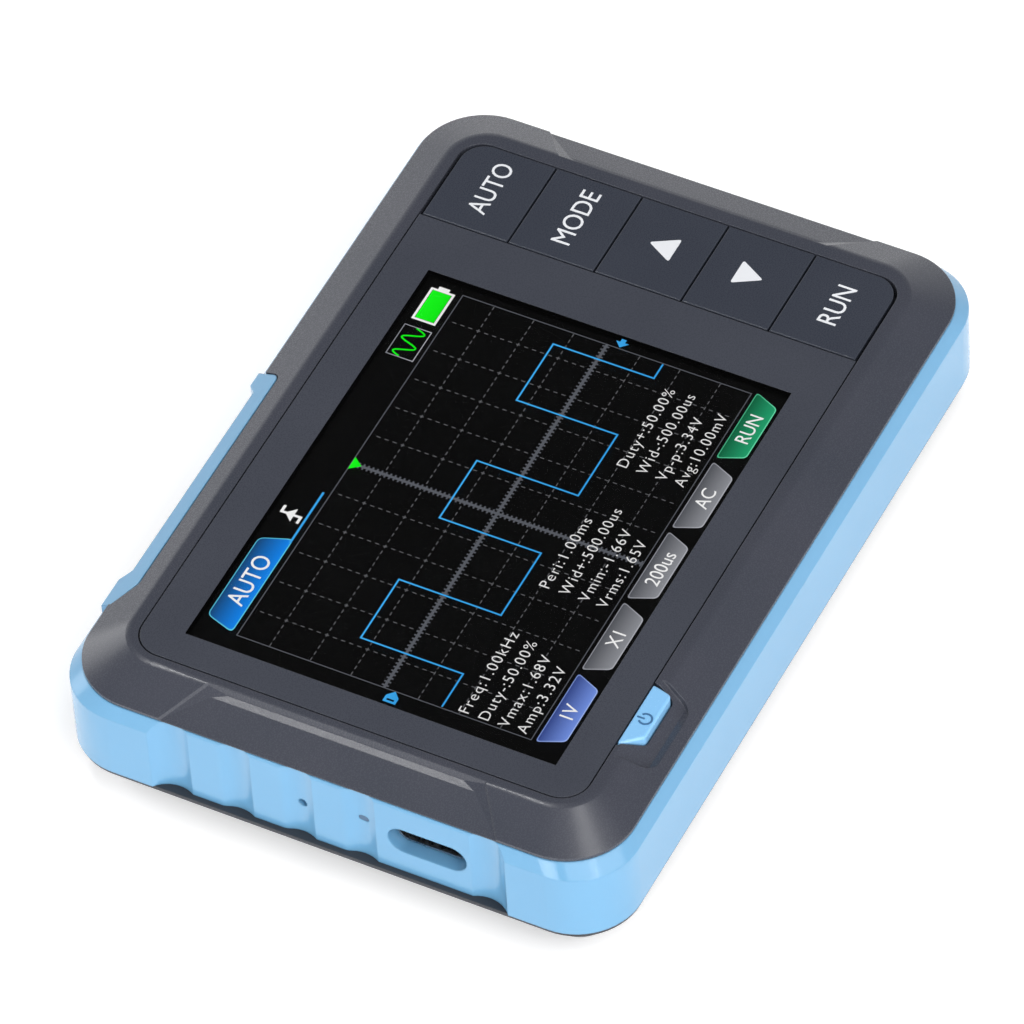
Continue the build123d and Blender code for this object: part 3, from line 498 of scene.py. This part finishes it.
def label_keys():
    """White lettering and arrows on the five keys."""
    for key in KEYS:
        low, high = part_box(key + "_key")
        middle = (low[1] + high[1]) / 2 / MM
        top = high[2] / MM
        name = key + "_label"
        if key in LABEL_WIDTHS:
            mesh = text_mesh(name, key.upper(), LABEL_HEIGHT, top, top + INK_THICKNESS, centre=LABEL_X,
                             middle=middle, width=LABEL_WIDTHS[key])
        else:
            rise = 1 if key == "up" else -1
            back, tip = middle - ARROW_BACK * rise, middle + ARROW_TIP * rise
            points = [(LABEL_X - ARROW_HALF, back), (LABEL_X + ARROW_HALF, back), (LABEL_X, tip)]
            mesh = plates_mesh(name, [rounded(points, ARROW_CORNER_R)], top, top + INK_THICKNESS)
        add_piece(name, mesh, "ink", key + "_key")


def mark_power_key():
    """The raised power sign: a ring with a gap and an upright bar in it."""
    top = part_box("power_key")[1][2] / MM
    x, y = POWER_SIGN
    outer, inner = POWER_SIGN_R
    gap = math.radians(POWER_SIGN_GAP)
    sweep = 2 * math.pi - 2 * gap
    angles = [math.pi / 2 + gap + sweep * i / POWER_SIGN_STEPS for i in range(POWER_SIGN_STEPS + 1)]
    ring = [(x + outer * math.cos(a), y + outer * math.sin(a)) for a in angles]
    ring += [(x + inner * math.cos(a), y + inner * math.sin(a)) for a in reversed(angles)]
    half, start, end = POWER_SIGN_BAR
    bar = rectangle(x - half, x + half, y + start, y + end)
    mesh = plates_mesh("power_sign", [ring, bar], top, top + POWER_SIGN_THICKNESS)
    add_piece("power_sign", mesh, "mark", "power_key")


# ---------------------------------------------------------------- the picture on the display

def picture_middle():
    """The middle of the window, moved by the sight shift, in millimetres."""
    low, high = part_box("display_window")
    return ((low[0] + high[0]) / 2 / MM + SIGHT_SHIFT[0], (low[1] + high[1]) / 2 / MM + SIGHT_SHIFT[1])


def picture(name, outlines, layer, material):
    """Adds plates to the picture, in display coordinates, on one of its layers."""
    mid = picture_middle()
    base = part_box("lcd_glass")[1][2] / MM
    placed = [[(x + mid[0], y + mid[1]) for x, y in outline] for outline in outlines]
    low = base + layer * LAYER
    add_piece(name, plates_mesh(name, placed, low, low + LAYER_THICKNESS), material, "case")


def picture_text(name, text, height, layer, material, **place):
    """Adds lettering to the picture, in display coordinates."""
    mid = picture_middle()
    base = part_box("lcd_glass")[1][2] / MM
    for key in ("left", "centre"):
        if key in place:
            place[key] += mid[0]
    for key in ("baseline", "middle"):
        if key in place:
            place[key] += mid[1]
    low = base + layer * LAYER
    mesh = text_mesh(name, text, height, low, low + LAYER_THICKNESS, **place)
    add_piece(name, mesh, material, "case")


def frame_outline(left, right, low, high, line):
    """The four bars of a thin rectangular frame."""
    return [rectangle(left, right, low, low + line), rectangle(left, right, high - line, high),
            rectangle(left, left + line, low + line, high - line),
            rectangle(right - line, right, low + line, high - line)]


def dashes(start, end, through, dash, pitch):
    """Start and end of each dash along a stretch, with one dash centred on a given place."""
    first = math.ceil((start + dash / 2 - through) / pitch)
    last = math.floor((end - dash / 2 - through) / pitch)
    middles = [through + i * pitch for i in range(first, last + 1)]
    return [(middle - dash / 2, middle + dash / 2) for middle in middles]


def draw_grid():
    """The frame and the dashed graticule, then the axes."""
    frame_bars = frame_outline(GRID_LEFT, GRID_RIGHT, GRID_LOW, GRID_HIGH, GRID_LINE)
    picture("grid_frame", frame_bars, 1, "glow_axis")
    bars = []
    row_pitch = (ROWS[-1] - ROWS[0]) / (len(ROWS) - 1)
    spans = dashes(GRID_LOW, GRID_HIGH, GRID_MID[1] + ROWS[0], DASH, row_pitch / DASHES_PER_ROW)
    for column in range(-COLUMNS_EACH_SIDE, COLUMNS_EACH_SIDE + 1):
        x = GRID_MID[0] + column * COLUMN_PITCH
        if column:
            bars += [rectangle(x - DASH_HALF, x + DASH_HALF, a, b) for a, b in spans]
    spans = dashes(GRID_LEFT, GRID_RIGHT, GRID_MID[0], DASH, COLUMN_PITCH / DASHES_PER_COLUMN)
    for row in ROWS:
        for y in (GRID_MID[1] + row, GRID_MID[1] - row):
            bars += [rectangle(a, b, y - DASH_HALF, y + DASH_HALF) for a, b in spans]
    picture("grid_dashes", bars, 1, "glow_grid")
    draw_axes()


def draw_axes():
    """The two solid axes through the middle, with ticks on both sides."""
    x, y = GRID_MID
    axes = [rectangle(GRID_LEFT, GRID_RIGHT, y - AXIS_HALF, y + AXIS_HALF),
            rectangle(x - AXIS_HALF, x + AXIS_HALF, GRID_LOW, GRID_HIGH)]
    for a, b in dashes(GRID_LEFT, GRID_RIGHT, x, TICK, TICK_PITCH):
        axes.append(rectangle(a, b, y + AXIS_HALF, y + TICK_REACH))
        axes.append(rectangle(a, b, y - TICK_REACH, y - AXIS_HALF))
    for a, b in dashes(GRID_LOW, GRID_HIGH, y, TICK, TICK_PITCH):
        axes.append(rectangle(x + AXIS_HALF, x + TICK_REACH, a, b))
        axes.append(rectangle(x - TICK_REACH, x - AXIS_HALF, a, b))
    picture("grid_axes", axes, 2, "glow_axis")


def draw_wave():
    """The square wave across the graticule."""
    half = WAVE_HALF
    edges = []
    for cycle in range(WAVE_CYCLES):
        rise = WAVE_FIRST + cycle * WAVE_PERIOD
        edges += [rise, rise + WAVE_PULSE]
    bars = []
    x = GRID_LEFT + WAVE_MARGIN
    level = WAVE_LOW
    for edge in edges:
        bars.append(rectangle(x, edge + half, level - half, level + half))
        bars.append(rectangle(edge - half, edge + half, WAVE_LOW + half, WAVE_HIGH - half))
        x = edge - half
        level = WAVE_HIGH if level == WAVE_LOW else WAVE_LOW
    bars.append(rectangle(x, GRID_RIGHT - WAVE_MARGIN, level - half, level + half))
    picture("wave_trace", bars, 3, "glow_wave")


def draw_markers():
    """Trigger marker above the graticule, and level markers at its two sides."""
    x, y = GRID_MID[0], LEVEL_Y
    trigger = [(x - TRIGGER_HALF, TRIGGER_TOP), (x, TRIGGER_TIP), (x + TRIGGER_HALF, TRIGGER_TOP)]
    picture("trigger_marker", [trigger], 3, "glow_green")
    tag = [(TAG_BACK, y - TAG_HALF), (TAG_SHOULDER, y - TAG_HALF), (TAG_TIP, y), (TAG_SHOULDER, y + TAG_HALF),
           (TAG_BACK, y + TAG_HALF)]
    picture("level_tag", [tag], 3, "glow_wave")
    picture("level_tag_slot", [rectangle(*TAG_SLOT, y - TAG_SLOT_HALF, y + TAG_SLOT_HALF)], 4, "display")
    arrow = [(ARROWHEAD_TIP, y), (ARROWHEAD_BACK, y - ARROWHEAD_HALF), (ARROWHEAD_BACK, y - SHAFT_HALF),
             (SHAFT_END, y - SHAFT_HALF), (SHAFT_END, y + SHAFT_HALF), (ARROWHEAD_BACK, y + SHAFT_HALF),
             (ARROWHEAD_BACK, y + ARROWHEAD_HALF)]
    picture("level_arrow", [arrow], 3, "glow_wave")


def draw_top_row():
    """The status tab with its line, then the edge, waveform and battery signs."""
    picture("status_tab_edge", [rounded(STATUS_TAB, STATUS_TAB_R)], 1, "glow_auto_edge")
    picture("status_tab", [rounded(STATUS_FILL, STATUS_FILL_R)], 2, "glow_auto")
    picture("status_line", [rectangle(*STATUS_LINE)], 3, "glow_wave")
    picture_text("status_text", "AUTO", STATUS_LETTERS, 3, "glow_white", **STATUS_TEXT)
    draw_edge_sign()
    picture("sine_frame", frame_outline(*SINE_FRAME, SINE_FRAME_LINE), 1, "glow_tab_edge")
    draw_small_sine()
    case = frame_outline(*BATTERY_FRAME, BATTERY_WALL) + [rectangle(*BATTERY_CAP)]
    picture("battery_frame", case, 1, "glow_white")
    picture("battery_fill", [rectangle(*BATTERY_FILL)], 1, "glow_green")


def draw_edge_sign():
    """The rising edge sign: an upright with a foot at each end and an arrowhead on it."""
    x, low, high = EDGE_SIGN_X, EDGE_SIGN_LOW, EDGE_SIGN_HIGH
    stem = rectangle(x - EDGE_STEM_HALF, x + EDGE_STEM_HALF, low, high)
    upper_foot = rectangle(x + EDGE_STEM_HALF, x + EDGE_FOOT_REACH, high - EDGE_FOOT, high)
    lower_foot = rectangle(x - EDGE_FOOT_REACH, x - EDGE_STEM_HALF, low, low + EDGE_FOOT)
    head = [(x - EDGE_HEAD_HALF, EDGE_HEAD_LOW), (x + EDGE_HEAD_HALF, EDGE_HEAD_LOW), (x, EDGE_HEAD_TIP)]
    picture("edge_sign", [stem, upper_foot, lower_foot, head], 1, "glow_white")


def draw_small_sine():
    """Two periods of a sine as a thin band."""
    upper, lower = [], []
    for i in range(SINE_STEPS + 1):
        t = i / SINE_STEPS
        x = SINE_START + SINE_LENGTH * t
        phase = 2 * math.pi * (SINE_PERIODS * t + SINE_DELAY)
        y = SINE_MIDDLE + SINE_SWING * math.sin(phase)
        slope = math.atan(SINE_SWING * math.cos(phase) * 2 * math.pi * SINE_PERIODS / SINE_LENGTH)
        upper.append((x - SINE_HALF * math.sin(slope), y + SINE_HALF * math.cos(slope)))
        lower.append((x + SINE_HALF * math.sin(slope), y - SINE_HALF * math.cos(slope)))
    strips = [[lower[i], lower[i + 1], upper[i + 1], upper[i]] for i in range(SINE_STEPS)]
    picture("small_sine", strips, 2, "glow_green")


def draw_tabs():
    """The row of five setting tabs along the bottom."""
    for index, (text, fill, outline) in enumerate(TABS):
        left = GRID_LEFT + index * TAB_PITCH
        right = left + TAB_WIDTH
        edge = [(left + TAB_SLANT, TAB_BOTTOM), (right - TAB_SLANT, TAB_BOTTOM), (right, TAB_TOP),
                (left, TAB_TOP)]
        low, high = TAB_BOTTOM + FILL_MARGIN, TAB_TOP - FILL_MARGIN
        inside = [(left + FILL_SLANT, low), (right - FILL_SLANT, low), (right - FILL_SIDE, high),
                  (left + FILL_SIDE, high)]
        picture(f"tab_{index}_edge", [rounded(edge, TAB_R)], 1, outline)
        picture(f"tab_{index}_fill", [rounded(inside, FILL_R)], 2, fill)
        picture_text(f"tab_{index}_text", text, TAB_LETTERS, 3, "glow_white", centre=(left + right) / 2,
                     middle=(TAB_TOP + TAB_BOTTOM) / 2)


def draw_readouts():
    """Three columns of measured values."""
    for column, (left, lines) in enumerate(READOUT_COLUMNS):
        for row, (text, width) in enumerate(lines):
            picture_text(f"readout_{column}_{row}", text, READOUT_LETTERS, 4, "glow_text", left=left,
                         width=width, baseline=READOUT_BASELINES[row], spacing=READOUT_SPACING,
                         thin=READOUT_THIN)


# ---------------------------------------------------------------- floor, light and camera

def add_floor():
    """A wide pale floor under the object."""
    corners = [(x, y, 0) for x, y in rectangle(-FLOOR_HALF, FLOOR_HALF, -FLOOR_HALF, FLOOR_HALF)]
    mesh = bpy.data.meshes.new("floor")
    mesh.from_pydata(corners, [], [(0, 1, 2, 3)])
    floor = bpy.data.objects.new("floor", mesh)
    bpy.context.scene.collection.objects.link(floor)
    paper = moulded("floor_paper", (0.88, 0.88, 0.89, 1), (0.9, 0.9, 0.9, 1), (0.8, 0.9), 1.5, 0.01,
                    sheen=0.1, edge_mm=0.0)
    shader = paper.node_tree.nodes["Principled BSDF"]
    shader.inputs["Emission Color"].default_value = (1.0, 1.0, 1.0, 1.0)
    shader.inputs["Emission Strength"].default_value = FLOOR_GLOW
    mesh.materials.append(paper)


def add_light(name, direction, distance, width, height, radiance):
    """A soft rectangular lamp, seen from the object in a direction and at a distance."""
    data = bpy.data.lights.new(name, "AREA")
    data.shape = "RECTANGLE"
    data.size = width
    data.size_y = height
    data.energy = radiance * width * height * math.pi
    lamp = bpy.data.objects.new(name, data)
    lamp.location = Vector(direction).normalized() * distance
    lamp.rotation_euler = (-lamp.location).to_track_quat("-Z", "Y").to_euler()
    bpy.context.scene.collection.objects.link(lamp)


def add_room():
    """A room with bright low walls and a dark ceiling, which the display's pane mirrors."""
    world = bpy.data.worlds.new("studio")
    world.use_nodes = True
    nodes, links = world.node_tree.nodes, world.node_tree.links
    coords = nodes.new("ShaderNodeTexCoord")
    split = nodes.new("ShaderNodeSeparateXYZ")
    links.new(coords.outputs["Generated"], split.inputs["Vector"])
    fade = nodes.new("ShaderNodeMapRange")
    fade.interpolation_type = "SMOOTHSTEP"
    fade.inputs["From Min"].default_value = WALL_TOP
    fade.inputs["From Max"].default_value = CEILING_EDGE
    fade.inputs["To Min"].default_value = WALL_GLOW
    fade.inputs["To Max"].default_value = CEILING_GLOW
    links.new(split.outputs["Z"], fade.inputs["Value"])
    background = nodes["Background"]
    background.inputs["Color"].default_value = (0.98, 0.99, 1.0, 1)
    links.new(fade.outputs["Result"], background.inputs["Strength"])
    bpy.context.scene.world = world


def add_camera():
    """The camera, placed by its turn, rise and roll about the aim point."""
    data = bpy.data.cameras.new("camera")
    data.lens = CAMERA_LENS
    data.sensor_width = 36.0
    data.clip_start = 0.05
    data.clip_end = 20.0
    turn, rise = math.radians(CAMERA_TURN), math.radians(CAMERA_RISE)
    away = Vector((-math.sin(turn) * math.cos(rise), -math.cos(turn) * math.cos(rise), math.sin(rise)))
    spin = (-away).to_track_quat("-Z", "Y").to_matrix() @ Matrix.Rotation(math.radians(CAMERA_ROLL), 3, "Z")
    camera = bpy.data.objects.new("camera", data)
    camera.matrix_world = Matrix.Translation(Vector(CAMERA_AIM) + away * CAMERA_DISTANCE) @ spin.to_4x4()
    bpy.context.scene.collection.objects.link(camera)
    bpy.context.scene.camera = camera


dress_nodes()
label_keys()
mark_power_key()
draw_grid()
draw_wave()
draw_markers()
draw_top_row()
draw_tabs()
draw_readouts()
add_floor()
add_room()
for light in LIGHTS:
    add_light(*light)
add_camera()
bpy.context.scene.view_settings.view_transform = "Standard"
bpy.context.view_layer.update()
